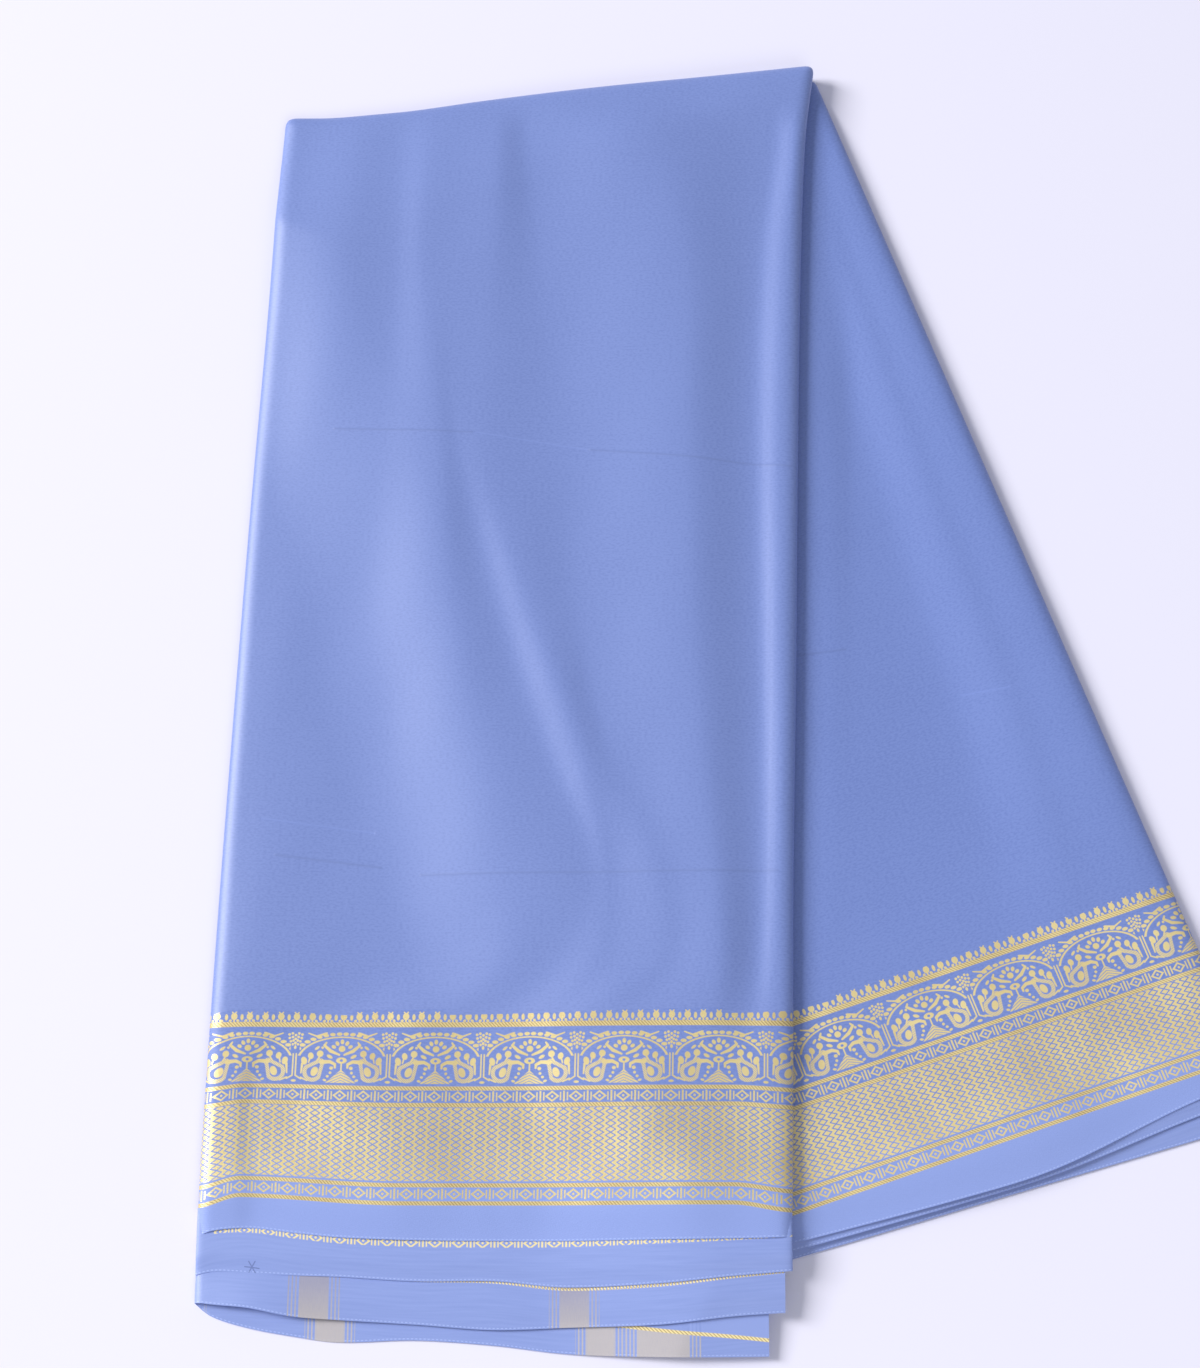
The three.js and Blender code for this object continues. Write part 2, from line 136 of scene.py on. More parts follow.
# Rolled edges of a wrapping panel: run in mm from the outline, and steps round the roll
RUN_LEFT, RUN_RIGHT, RUN_FAR = 7.5, 7.0, 7.0
ROLL_TURNS = (12, 24, 36, 48, 60, 72, 82, 90, 108, 126, 144)
LIP = 1.0
LIP_PER_DEGREE = 0.0175
ROLL_STRETCH = 1.08
# How far up the cloth the border reaches, from its lower rope
BORDER_TOP = 90.0


def between(low, high, share):
    return low + (high - low) * share


def eased(value, low, high):
    share = min(max((value - low) / (high - low), 0.0), 1.0)
    return share * share * (3 - 2 * share)


def read(table, at, column):
    """A value of a table between its rows, on a smooth curve."""
    if at <= table[0][0]:
        return table[0][column]
    if at >= table[-1][0]:
        return table[-1][column]
    n = next(k for k, row in enumerate(table) if row[0] > at)
    rows = [table[max(n - 2, 0)], table[n - 1], table[n], table[min(n + 1, len(table) - 1)]]
    span = rows[2][0] - rows[1][0]
    share = (at - rows[1][0]) / span

    def steepness(low, high):
        if high[0] == low[0]:
            return 0.0
        return (high[column] - low[column]) / (high[0] - low[0]) * span

    start = steepness(rows[0], rows[2])
    finish = steepness(rows[1], rows[3])
    a, b = rows[1][column], rows[2][column]
    return (
        (2 * share ** 3 - 3 * share ** 2 + 1) * a
        + (share ** 3 - 2 * share ** 2 + share) * start
        + (3 * share ** 2 - 2 * share ** 3) * b
        + (share ** 3 - share ** 2) * finish
    )


# The outline of the back leaf
down_back = Vector((math.sin(BACK_LEAN), -math.cos(BACK_LEAN)))
across_back = Vector((math.cos(BACK_LEAN), math.sin(BACK_LEAN)))
hem_slope = (BACK_HEM[1].y - BACK_HEM[0].y) / (BACK_HEM[1].x - BACK_HEM[0].x)


def on_back_hem(start):
    hem_y = BACK_HEM[0].y + hem_slope * (start.x - BACK_HEM[0].x)
    return start + down_back * (
        (start.y - hem_y) / (math.cos(BACK_LEAN) + hem_slope * math.sin(BACK_LEAN))
    )


back_far_left = BACK_CORNER - across_back * PANEL_WIDTH
back_outline = [BACK_CORNER, on_back_hem(BACK_CORNER), on_back_hem(back_far_left), back_far_left]


def past_back_leaf(x, y):
    """Distance of a place from the back leaf's outline, less than 0 over the leaf."""
    far = -1e9
    for n, start in enumerate(back_outline):
        edge = (back_outline[(n + 1) % 4] - start).normalized()
        far = max(far, (x - start.x) * -edge.y + (y - start.y) * edge.x)
    return far


def down_front(y):
    """Share of the way down the front leaf."""
    return min(max((FRONT_TOP - y) / FRONT_REACH, 0.0), 1.0)


def support(x, y):
    """Height of what lies under the front leaf: the back leaf, a slope, then the floor.
    The slope is shorter near the leaf's left edge than further in."""
    past = past_back_leaf(x, y)
    near = LIFT * eased(DRAPE_RUN - past, 0.0, DRAPE_RUN + DRAPE_START)
    wide = LIFT * eased(WIDE_RUN - past, 0.0, WIDE_RUN + DRAPE_START)
    clear = x - read(FRONT_EDGES, down_front(y), 1)
    return between(near, wide, eased(clear, 0.0, NEAR_EDGE))


def on_floor(x, y):
    return 0.0


def laid_flat(rows):
    """Rows of ridges and troughs in rising order, each as one run of numbers."""
    return sorted((row[0],) + tuple(value for spot in row[1:] for value in spot) for row in rows)


FRONT_SOFT = laid_flat(FRONT_RELIEF)
BACK_SOFT = laid_flat(BACK_RELIEF)
soft_spots = {}  # ridges and troughs already read, by leaf and whole mm along it


def relief(table, along, x):
    """Height of the soft ridges and troughs of a leaf at a place."""
    key = (len(table[0]), round(along))
    if key not in soft_spots:
        found = [
            (read(table, key[1], column), read(table, key[1], column + 1))
            for column in range(1, len(table[0]), 2)
        ]
        before, after = found[0][0] - RELIEF_FADE[0], found[-1][0] + RELIEF_FADE[1]
        soft_spots[key] = [(before, 0.0)] + found + [(after, 0.0)]
    spots = soft_spots[key]
    if x <= spots[0][0] or x >= spots[-1][0]:
        return 0.0
    m = next(k for k, spot in enumerate(spots) if spot[0] > x)
    return between(spots[m - 1][1], spots[m][1], eased(x, spots[m - 1][0], spots[m][0]))


def ripple(x, y):
    """Small slow unevenness that pressed cloth keeps."""
    return (
        0.10 * math.sin(x * 0.071 + 0.6 * math.sin(y * 0.017))
        + 0.07 * math.sin(y * 0.052 + 1.3 + 0.9 * math.sin(x * 0.023))
        + 0.05 * math.sin(x * 0.137 - y * 0.061 + 0.7)
    )


def front_plan(across, down, hem=TOP_HEM):
    x = between(read(FRONT_EDGES, down, 1), read(FRONT_EDGES, down, 2), across)
    y = between(read(FRONT_ENDS, across, FOLD), read(FRONT_ENDS, across, hem), down)
    return x, y


def back_plan(across, down, short=1):
    start = back_far_left.lerp(BACK_CORNER, across)
    end = on_back_hem(start) - down_back * read(BACK_SHORT, across, short)
    spot = start.lerp(end, down)
    return spot.x, spot.y


def front_rise(x, y):
    return FRONT_DEPTH * relief(FRONT_SOFT, y, x) + ripple(x, y)


def back_rise(x, y):
    """Fades out under the front leaf, where the back leaf lies pressed flat."""
    spot = Vector((x, y)) - back_far_left
    along = v_back(x, y)
    clear = x - read(FRONT_EDGES, down_front(y), 2)
    height = BACK_DEPTH * relief(BACK_SOFT, along, spot.dot(across_back)) + ripple(y, x)
    return height * eased(clear, 4.0, 30.0) - 0.15


def fading(distance, height, near, far):
    """A height that fades out with the distance from an edge."""
    return height * (1.0 - eased(distance, near, far))


def v_front(x, y):
    """Height up the cloth from the border's lower rope, which dips at the rolled edges."""
    down = down_front(y)
    left, right = read(FRONT_EDGES, down, 1), read(FRONT_EDGES, down, 2)
    rope = FRONT_ROPE + fading(x - left, *LEFT_RISE)
    rope -= fading(x - left, *LEFT_DIP) + fading(right - x, *RIGHT_DIP)
    top = FRONT_ROPE + BORDER_TOP
    return y - FRONT_ROPE if y > top else BORDER_TOP * (y - rope) / (top - rope)


rope_run = (BACK_ROPE[1] - BACK_ROPE[0]).normalized()


def v_back(x, y):
    """Height up the cloth from the lower rope of the back leaf's border."""
    spot = Vector((x, y)) - BACK_ROPE[0]
    return rope_run.x * spot.y - rope_run.y * spot.x


# Laying cloth


def stations(flat, low_bands, high_bands):
    """Places along one side of a sheet: share of the flat part, band of the roll, and its side."""
    low = [(0.0, k, -1) for k in range(low_bands, 0, -1)]
    middle = [(n / flat, 0, 0) for n in range(flat + 1)]
    return low + middle + [(1.0, k, 1) for k in range(1, high_bands + 1)]


def only(piece):
    """Selects one piece alone."""
    bpy.ops.object.select_all(action="DESELECT")
    piece.select_set(True)
    bpy.context.view_layer.objects.active = piece


def grid_sheet(name, columns, rows, place):
    """A grid of cloth whose points are put where place says, with its two maps."""
    across_count, down_count = len(columns) - 1, len(rows) - 1
    bpy.ops.mesh.primitive_grid_add(
        x_subdivisions=across_count, y_subdivisions=down_count, size=2
    )
    sheet = bpy.context.active_object
    sheet.name = name
    sheet.data.name = name
    mesh = sheet.data
    maps = []
    for vertex in mesh.vertices:
        i = round((vertex.co.x + 1) / 2 * across_count)
        j = round((1 - vertex.co.y) / 2 * down_count)
        spot, cloth, edge = place(columns[i], rows[j])
        vertex.co = (
            (spot[0] - CENTRE[0]) * MM, (spot[1] - CENTRE[1]) * MM, spot[2] * MM
        )
        maps.append((cloth, edge))
    mesh.uv_layers[0].name = "Cloth"
    mesh.uv_layers.new(name="Edge")
    cloth_map, edge_map = mesh.uv_layers["Cloth"], mesh.uv_layers["Edge"]
    for loop in mesh.loops:
        cloth, edge = maps[loop.vertex_index]
        cloth_map.data[loop.index].uv = (cloth[0] * MM, cloth[1] * MM)
        edge_map.data[loop.index].uv = (edge[0] * MM, edge[1] * MM)
    return sheet


def finish_sheet(sheet, thick=CLOTH):
    """Gives a sheet its thickness, inwards from the skin that shows, and smooths it."""
    only(sheet)
    wall = sheet.modifiers.new("wall", "SOLIDIFY")
    wall.thickness = thick * MM
    wall.offset = -1
    wall.use_even_offset = True
    bpy.ops.object.modifier_apply(modifier=wall.name)
    bpy.ops.object.shade_smooth_by_angle(angle=math.radians(42))


def round_corner(a, b):
    """Direction of a corner's bands, squarer than a circle."""
    if a == 0 and b == 0:
        return 0.0, 0.0
    turn = math.pi / 4 * min(a, b) / max(a, b)
    if b > a:
        turn = math.pi / 2 - turn
    return math.cos(turn) ** 0.62, math.sin(turn) ** 0.62


def roll_rows():
    """Rows of a panel's rolled edge: share of the run, mm further, height, ease of the relief."""
    rows = [(0.0, 0.0, LEAF_HEIGHT, 1.0)]
    half = LEAF_HEIGHT / 2
    for turn in ROLL_TURNS:
        angle = math.radians(turn)
        if turn <= 90:
            rows.append((math.sin(angle), 0.0, half + half * math.cos(angle), math.cos(angle)))
        else:
            rows.append((1.0, -LIP * (1 - math.sin(angle)), half + LIP * math.cos(angle), 0.0))
    return rows


def leaf_panel(name, plan, under, rise, v_of, flat_across, flat_down, droop):
    """The stretch of cloth that wraps a leaf, with rolled left, far and right edges."""
    profile = roll_rows()
    bands = len(profile) - 1
    columns = stations(flat_across, bands, bands)
    rows = stations(flat_down, bands, 0)
    left, right, far = RUN_LEFT / PANEL_WIDTH, RUN_RIGHT / PANEL_WIDTH, RUN_FAR / LEAF_LENGTH

    def cloth_across(column):
        share, band, side = column
        flat_run = PANEL_WIDTH - RUN_LEFT - RUN_RIGHT
        here = RUN_LEFT + share * flat_run
        if band:
            run = RUN_LEFT if side < 0 else RUN_RIGHT
            turned = min(ROLL_TURNS[band - 1], 90) / 90
            under_lip = max(ROLL_TURNS[band - 1] - 90, 0) * LIP_PER_DEGREE
            here += side * (run * ROLL_STRETCH * turned + under_lip)
        return here

    def place(column, row):
        (share_x, a, side_x), (share_y, b, side_y) = column, row
        cx, cy = round_corner(a, b)
        part, extra, up, ease = profile[max(a, b)]
        across = left + share_x * (1 - left - right)
        down = far + share_y * (1 - far)
        if a:
            run = RUN_LEFT if side_x < 0 else RUN_RIGHT
            across += side_x * (run * part + extra) * cx / PANEL_WIDTH
        if b:
            down += side_y * (RUN_FAR * part + extra) * cy / LEAF_LENGTH
        x, y = plan(across, down)
        hem_x, hem_y = plan(across, 1.0)
        to_hem = math.hypot(hem_x - x, hem_y - y)
        z = under(x, y) + up + rise(x, y) * ease - droop * (1 - eased(to_hem, 0.0, 16.0))
        z = max(z, under(x, y) + 0.4)
        cloth = (cloth_across(column), v_of(x, y) + (LEAF_HEIGHT - up if b else 0.0))
        return (x, y, z), cloth, (to_hem, cloth_across(column))

    return grid_sheet(name, columns, rows, place)


# Layered rim of a leaf's hidden folds: share of the run, mm further, height, how far it wanders
FOLD_RIM = [
    (0.00, 0.0, 2.4, 0.0), (0.50, -1.0, 2.4, 0.0), (0.87, -1.5, 2.5, 0.0), (1.00, -2.1, 2.7, 0.0),
    (1.00, -0.95, 3.05, 0.5), (1.00, -0.60, 2.75, 0.5), (1.00, -0.90, 2.45, 0.5),
    (1.00, -2.0, 2.25, 0.1),
    (1.00, -1.05, 2.05, 0.7), (1.00, -0.75, 1.75, 0.7), (1.00, -1.05, 1.45, 0.7),
    (1.00, -2.1, 1.25, 0.1),
    (1.00, -0.80, 1.05, 0.5), (1.00, -0.55, 0.75, 0.5), (1.00, -0.85, 0.5, 0.5),
    (1.00, -1.8, 0.36, 0.1), (1.00, -0.9, 0.22, 0.4), (1.00, -0.9, 0.08, 0.4),
    (1.00, -1.5, 0.0, 0.3),
]
MAP_START = 300.0  # keeps the folds' maps above 0
MOST_STRAY = 0.35


def wander(k, x, y):
    """Uneven edge of fold k of the rim, from -1 to 1."""
    return (
        0.6 * math.sin(0.023 * y + 1.9 * k + 0.011 * x)
        + 0.4 * math.sin(0.049 * x + 0.8 * k - 0.031 * y)
    )


def leaf_folds(name, plan, under, ground, flat_across, flat_down, runs):
    """The hidden folds of a leaf: rounded over the top, ridged round the sides, flat below."""
    bands = len(FOLD_RIM) - 1
    columns = stations(flat_across, bands, bands)
    rows = stations(flat_down, bands, bands)
    left, right, far, hem = runs

    def spot_of(column, row, part_of):
        (share_x, a, side_x), (share_y, b, side_y) = column, row
        cx, cy = round_corner(a, b)
        band = max(a, b)
        part, extra = part_of(band)
        run_x = left if side_x < 0 else right
        run_y = far if side_y < 0 else hem
        across = left / PANEL_WIDTH + share_x * (1 - (left + right) / PANEL_WIDTH)
        down = far / LEAF_LENGTH + share_y * (1 - (far + hem) / LEAF_LENGTH)
        if a:
            across += side_x * (run_x * part + extra) * cx / PANEL_WIDTH
        if b:
            down += side_y * (run_y * part + extra) * cy / LEAF_LENGTH
        return plan(across, down), band

    def top(column, row):
        (x, y), band = spot_of(column, row, lambda k: FOLD_RIM[k][:2])
        stray = FOLD_RIM[band][3] * wander((band - 1) // 4, x, y)
        (x, y), band = spot_of(
            column, row, lambda k: (FOLD_RIM[k][0], FOLD_RIM[k][1] + min(stray, MOST_STRAY))
        )
        base = ground(x, y) if band == bands else under(x, y)
        cloth = (x + MAP_START, y + MAP_START + 3 * band)
        return (x, y, base + FOLD_RIM[band][2]), cloth, (0.0, 0.0)

    def bottom(column, row):
        last = FOLD_RIM[bands]

        def inwards(k):
            share = k / bands
            return last[0] * share, last[1] * share

        def outermost(k):
            stray = last[3] * wander((bands - 1) // 4, *rim)
            return last[0], last[1] + min(stray, MOST_STRAY)

        (x, y), band = spot_of(column, row, inwards)
        if band == bands:
            rim, band = spot_of(column, row, lambda k: last[:2])
            (x, y), band = spot_of(column, row, outermost)
        return (x, y, ground(x, y)), (x + MAP_START, y + MAP_START), (0.0, 0.0)

    upper = grid_sheet(name, columns, rows, top)
    lower = grid_sheet(name + "_under", columns, rows, bottom)
    only(lower)
    bpy.ops.object.mode_set(mode="EDIT")
    bpy.ops.mesh.select_all(action="SELECT")
    bpy.ops.mesh.flip_normals()
    bpy.ops.object.mode_set(mode="OBJECT")
    upper.select_set(True)
    bpy.context.view_layer.objects.active = upper
    bpy.ops.object.join()
    bpy.ops.object.mode_set(mode="EDIT")
    bpy.ops.mesh.select_all(action="SELECT")
    bpy.ops.mesh.remove_doubles(threshold=0.01 * MM)
    bpy.ops.object.mode_set(mode="OBJECT")
    bpy.ops.object.shade_smooth_by_angle(angle=math.radians(50))
    return upper


# Steps round the rolled end of a hem's strip, in degrees
STRIP_TURNS = (20, 40, 60, 78, 90, 115, 140)


def strip_end(k, run, drop):
    """How far out and down band k of a strip's rolled end lies."""
    if k == 0:
        return 0.0, 0.0
    turn = math.radians(STRIP_TURNS[k - 1])
    out = run * math.sin(min(turn, math.pi / 2)) - 0.5 * (1 - math.sin(max(turn, math.pi / 2)))
    return out, drop / 2 * (1 - math.cos(turn))


def hem_strip(name, spot, under, v_of, level, droop, run, drop, flat_across):
    """A layer's hem past the one above it. spot gives its plan by share across and outwards."""
    bands = len(STRIP_TURNS)
    columns = stations(flat_across, bands, bands)
    rows = stations(18, 0, 0)

    def place(column, row):
        share, band, side = column
        outwards = row[0]
        out, fall = strip_end(band, run, drop)
        inset = run / PANEL_WIDTH
        across = inset + share * (1 - 2 * inset) + side * out / PANEL_WIDTH
        x, y = spot(across, outwards)
        hem_x, hem_y = spot(across, 1.0)
        to_hem = math.hypot(hem_x - x, hem_y - y)
        z = under(x, y) + level - fall - droop * (1 - eased(to_hem, 0.0, 9.0))
        z = max(z, under(x, y) + CLOTH + 0.05)
        cloth = across * PANEL_WIDTH
        return (x, y, z), (cloth, v_of(x, y)), (to_hem, cloth)

    return grid_sheet(name, columns, rows, place)


# Materials


class Loom:
    """Nodes of one cloth's material. A woven shape is the distance to its edge, below 0 inside."""

    def __init__(self, name):
        self.material = bpy.data.materials.new(name)
        self.material.use_nodes = True
        self.nodes = self.material.node_tree.nodes
        self.links = self.material.node_tree.links
        self.shader = self.nodes["Principled BSDF"]

    def set_input(self, socket, value):
        if isinstance(value, bpy.types.NodeSocket):
            self.links.new(value, socket)
        else:
            socket.default_value = value

    def give(self, name, value):
        """Sets or links an input of the cloth's shader."""
        self.set_input(self.shader.inputs[name], value)

    def sum(self, operation, *values, clamp=False):
        node = self.nodes.new("ShaderNodeMath")
        node.operation = operation
        node.use_clamp = clamp
        for n, value in enumerate(values):
            self.set_input(node.inputs[n], value)
        return node.outputs[0]

    def plus(self, one, other, clamp=False):
        return self.sum("ADD", one, other, clamp=clamp)

    def less(self, one, other, clamp=False):
        return self.sum("SUBTRACT", one, other, clamp=clamp)

    def times(self, one, other, clamp=False):
        return self.sum("MULTIPLY", one, other, clamp=clamp)

    def scaled(self, value, factor, shift, clamp=False):
        return self.sum("MULTIPLY_ADD", value, factor, shift, clamp=clamp)

    def vector(self, operation, *values, out="Vector"):
        node = self.nodes.new("ShaderNodeVectorMath")
        node.operation = operation
        for n, value in enumerate(values):
            self.set_input(node.inputs[n], value)
        return node.outputs[out]

    def map(self, layer):
        """A map of the cloth, in mm."""
        node = self.nodes.new("ShaderNodeUVMap")
        node.uv_map = layer
        scaled = self.vector("MULTIPLY", node.outputs["UV"], (1000.0, 1000.0, 0.0))
        parts = self.nodes.new("ShaderNodeSeparateXYZ")
        self.links.new(scaled, parts.inputs[0])
        return parts.outputs["X"], parts.outputs["Y"], scaled

    def point(self, x, y):
        node = self.nodes.new("ShaderNodeCombineXYZ")
        self.set_input(node.inputs[0], x)
        self.set_input(node.inputs[1], y)
        return node.outputs[0]

    def blob(self, at, x, y, wide, tall, turn=0.0):
        """A filled oval, half its size given, turned anticlockwise by degrees."""
        node = self.nodes.new("ShaderNodeMapping")
        node.vector_type = "TEXTURE"
        self.links.new(at, node.inputs["Vector"])
        node.inputs["Location"].default_value = (x, y, 0.0)
        node.inputs["Rotation"].default_value = (0.0, 0.0, math.radians(turn))
        node.inputs["Scale"].default_value = (wide, tall, 1.0)
        length = self.vector("LENGTH", node.outputs[0], out="Value")
        small = min(wide, tall)
        return self.scaled(length, small, -small)

    def stroke(self, at, x0, y0, x1, y1, half, half_end=None):
        """A round-ended stroke from one place to another, tapered where half_end is given."""
        run = Vector((x1 - x0, y1 - y0, 0.0))
        away = self.vector("SUBTRACT", at, (x0, y0, 0.0))
        part = self.vector("DOT_PRODUCT", away, tuple(run / run.length_squared), out="Value")
        part = self.plus(part, 0.0, clamp=True)
        node = self.nodes.new("ShaderNodeVectorMath")
        node.operation = "SCALE"
        node.inputs[0].default_value = tuple(run)
        self.links.new(part, node.inputs["Scale"])
        gap = self.vector("DISTANCE", away, node.outputs[0], out="Value")
        if half_end is None:
            return self.less(gap, half)
        return self.less(gap, self.scaled(part, half_end - half, half))

    def either(self, shapes):
        found = shapes[0]
        for shape in shapes[1:]:
            found = self.sum("MINIMUM", found, shape)
        return found

    def both(self, one, other):
        return self.sum("MAXIMUM", one, other)

    def outside(self, shape):
        return self.times(shape, -1.0)

    def ring(self, shape, half):
        return self.less(self.sum("ABSOLUTE", shape), half)

    def band(self, v, low, high):
        """A band between two heights."""
        middle = self.less(v, (low + high) / 2)
        return self.less(self.sum("ABSOLUTE", middle), (high - low) / 2)

    def fill(self, shape, soft=0.22):
        """1 inside a woven shape and 0 outside, over a soft edge."""
        return self.scaled(shape, -1.0 / soft, 0.5, clamp=True)

    def repeat(self, u, pitch, shift=0.0):
        """Distance from the middle of the nearest repeat, never below 0."""
        return self.sum("PINGPONG", self.plus(u, shift), pitch / 2)

    def mix(self, share, one, other):
        node = self.nodes.new("ShaderNodeMix")
        node.data_type = "RGBA"
        self.set_input(node.inputs[0], share)
        self.set_input(node.inputs[6], one)
        self.set_input(node.inputs[7], other)
        return node.outputs[2]

    def noise(self, at, scale, detail=2.0, stretch=(1.0, 1.0, 1.0)):
        node = self.nodes.new("ShaderNodeTexNoise")
        node.inputs["Scale"].default_value = scale
        node.inputs["Detail"].default_value = detail
        self.links.new(self.vector("MULTIPLY", at, stretch), node.inputs["Vector"])
        return node.outputs["Fac"]


SILK = (0.188, 0.268, 0.620, 1.0)
SILK_DEEP = (0.158, 0.230, 0.560, 1.0)
# The body silk painted lighter, as painted light on the hems and the border's lower edge
SILK_HEM_LIT = (0.278, 0.370, 0.765, 1.0)
GOLD = (0.98, 0.83, 0.41, 1.0)
# Gold in painted shade, also mixed in at random as uneven tone
GOLD_SHADED = (0.42, 0.30, 0.13, 1.0)
PALE_ZARI = (0.62, 0.56, 0.50, 1.0)
DULL_ZARI = (0.40, 0.38, 0.46, 1.0)
TACKING = (0.07, 0.11, 0.32, 1.0)
SATIN_ROUGHNESS = 0.5
SATIN_SHINE = 0.9
SILK_BUMP = (0.35, 0.00012)
BORDER_BUMP = (0.45, 0.00014)
FOLDS_BUMP = (0.5, 0.00012)

# The border from its lower edge up, in mm
BORDER_STRETCH = 88.4 / 90.0
ROPES = ((0.0, 1.9), (8.1, 10.0), (44.4, 46.4), (52.1, 54.0), (81.3, 83.7))
DIAMOND_ROWS = ((2.6, 7.6), (46.8, 51.8))
LATTICE = (10.9, 44.1)
ARCH_ROW = (55.1, 78.9)
BUD_ROW = (83.7, 88.4)
ARCH_PITCH = 43.8
# Strands of a twisted rope: mm from one to the next, and how sharply each leaves its painted shade
STRAND_PITCH = 1.55
STRAND_RISE = 1.9

# One half of an arch, from its middle to the stem between arches, drawn: ovals with
# their middle, half width, half height and turn; strokes with their ends and half widths
ARCH_OVALS = [
    (0.0, 16.0, 1.55, 1.45, 0), (0.0, 19.3, 0.85, 1.15, 0), (2.3, 18.5, 0.85, 1.15, -32),
    (3.9, 16.9, 0.8, 1.1, -62), (0.0, 10.5, 2.5, 1.45, 0),
    (5.6, 12.3, 1.5, 0.75, 28), (10.1, 13.6, 1.55, 1.55, 0), (14.4, 12.6, 1.3, 1.6, -16),
    (12.4, 5.2, 1.6, 2.3, 22), (4.6, 6.9, 0.9, 0.8, 0), (17.4, 10.2, 1.35, 1.9, -18),
    (5.0, 4.7, 0.65, 0.65, 0), (6.2, 3.0, 0.7, 0.6, 0), (7.4, 1.2, 0.9, 0.55, 20),
    (11.6, 16.3, 1.3, 0.6, -38), (9.1, 16.5, 0.6, 0.6, 0),
    (18.9, 22.7, 0.62, 0.62, 0), (20.4, 23.2, 0.62, 0.62, 0), (21.9, 22.4, 0.62, 0.62, 0),
    (19.1, 21.0, 0.62, 0.62, 0), (20.6, 21.5, 0.62, 0.62, 0), (21.9, 20.6, 0.62, 0.62, 0),
    (19.7, 19.4, 0.6, 0.6, 0), (20.9, 19.8, 0.6, 0.6, 0), (21.9, 18.6, 0.6, 0.75, 0),
    (20.7, 18.0, 0.55, 0.6, 0), (21.9, 16.6, 0.6, 0.9, 0), (21.9, 0.7, 1.2, 0.6, 0),
]
ARCH_STROKES = [
    (0.0, 6.0, 0.0, 9.2, 0.35, 0.35),
    (1.2, 13.2, 5.2, 14.9, 0.45, 0.8), (5.2, 14.9, 8.3, 17.6, 0.8, 0.6),
    (8.3, 17.6, 7.4, 18.9, 0.6, 0.4),
    (10.4, 12.0, 11.6, 10.2, 0.4, 0.3), (14.9, 11.0, 15.3, 9.4, 0.4, 0.3),
    (9.4, 9.7, 5.4, 9.9, 1.0, 0.8), (5.4, 9.9, 3.0, 8.7, 0.8, 0.65),
    (3.0, 8.7, 2.9, 7.2, 0.65, 0.5),
    (18.2, 8.8, 18.6, 4.4, 0.6, 0.35),
    (21.2, 13.4, 21.2, 3.2, 0.34, 0.34), (21.2, 3.2, 18.6, 1.6, 0.34, 0.34),
    (18.6, 2.2, 15.6, 0.8, 0.42, 0.3),
    (12.1, 21.9, 15.9, 23.3, 0.42, 0.3), (12.1, 21.9, 7.6, 23.4, 0.42, 0.5),
]


def weave(loom, cloth):
    """Fine crepe of the silk: its bump, and the long streaks of its uneven threads."""
    weft = loom.noise(cloth, 1.0, 2.0, (0.55, 3.4, 1.0))
    warp = loom.noise(cloth, 1.0, 2.0, (3.8, 0.7, 1.0))
    grain = loom.plus(weft, warp)
    slub = loom.noise(cloth, 1.0, 3.0, (0.035, 0.9, 1.0))
    return grain, slub


def sheen_and_bump(loom, height, strength, distance):
    node = loom.nodes.new("ShaderNodeBump")
    node.inputs["Strength"].default_value = strength
    node.inputs["Distance"].default_value = distance
    loom.links.new(height, node.inputs["Height"])
    loom.give("Normal", node.outputs["Normal"])
    loom.give("Sheen Weight", 0.12)
    loom.give("Sheen Roughness", 0.5)


def stitched(loom, body, colour):
    """A colour with pale dashes of stitching over it, along the selvedge."""
    to_hem, along, _ = loom.map("Edge")
    line = loom.fill(loom.band(to_hem, 0.55, 0.95), 0.3)
    dash = loom.fill(loom.less(loom.repeat(along, 1.9), 0.5), 0.4)
    dots = loom.times(line, dash)
    pale = tuple(min(c * 1.35 + 0.08, 1.0) for c in colour[:3]) + (1.0,)
    return loom.mix(loom.times(dots, 0.7), body, pale)


def sag(loom, u, v, middle, deep, reach):
    """Inside where v is above a curve that hangs lowest at its middle."""
    side = loom.sum("DIVIDE", loom.less(u, middle), reach)
    low = loom.scaled(loom.times(side, side), deep, -deep)
    return loom.less(low, v)


def twist(loom, u, v):
    """Slanting strands of a rope, from painted shade between them to plain gold on top."""
    strands = loom.repeat(loom.plus(u, v), STRAND_PITCH)
    return loom.times(strands, STRAND_RISE, clamp=True)


def silk_ground(loom, cloth, slub):
    """Colour of the plain silk, a little uneven from thread to thread."""
    slow = loom.noise(cloth, 1.0, 2.0, (0.012, 0.009, 1.0))
    tint = loom.scaled(loom.less(slow, 0.5), 0.8, 0.35, clamp=True)
    fleck = loom.noise(cloth, 1.0, 1.0, (0.6, 1.2, 1.0))
    threads = loom.times(loom.less(fleck, 0.5), 3.6)
    threads = loom.scaled(loom.less(slub, 0.5), 0.7, threads)
    return loom.mix(loom.plus(tint, threads, clamp=True), SILK, SILK_DEEP)


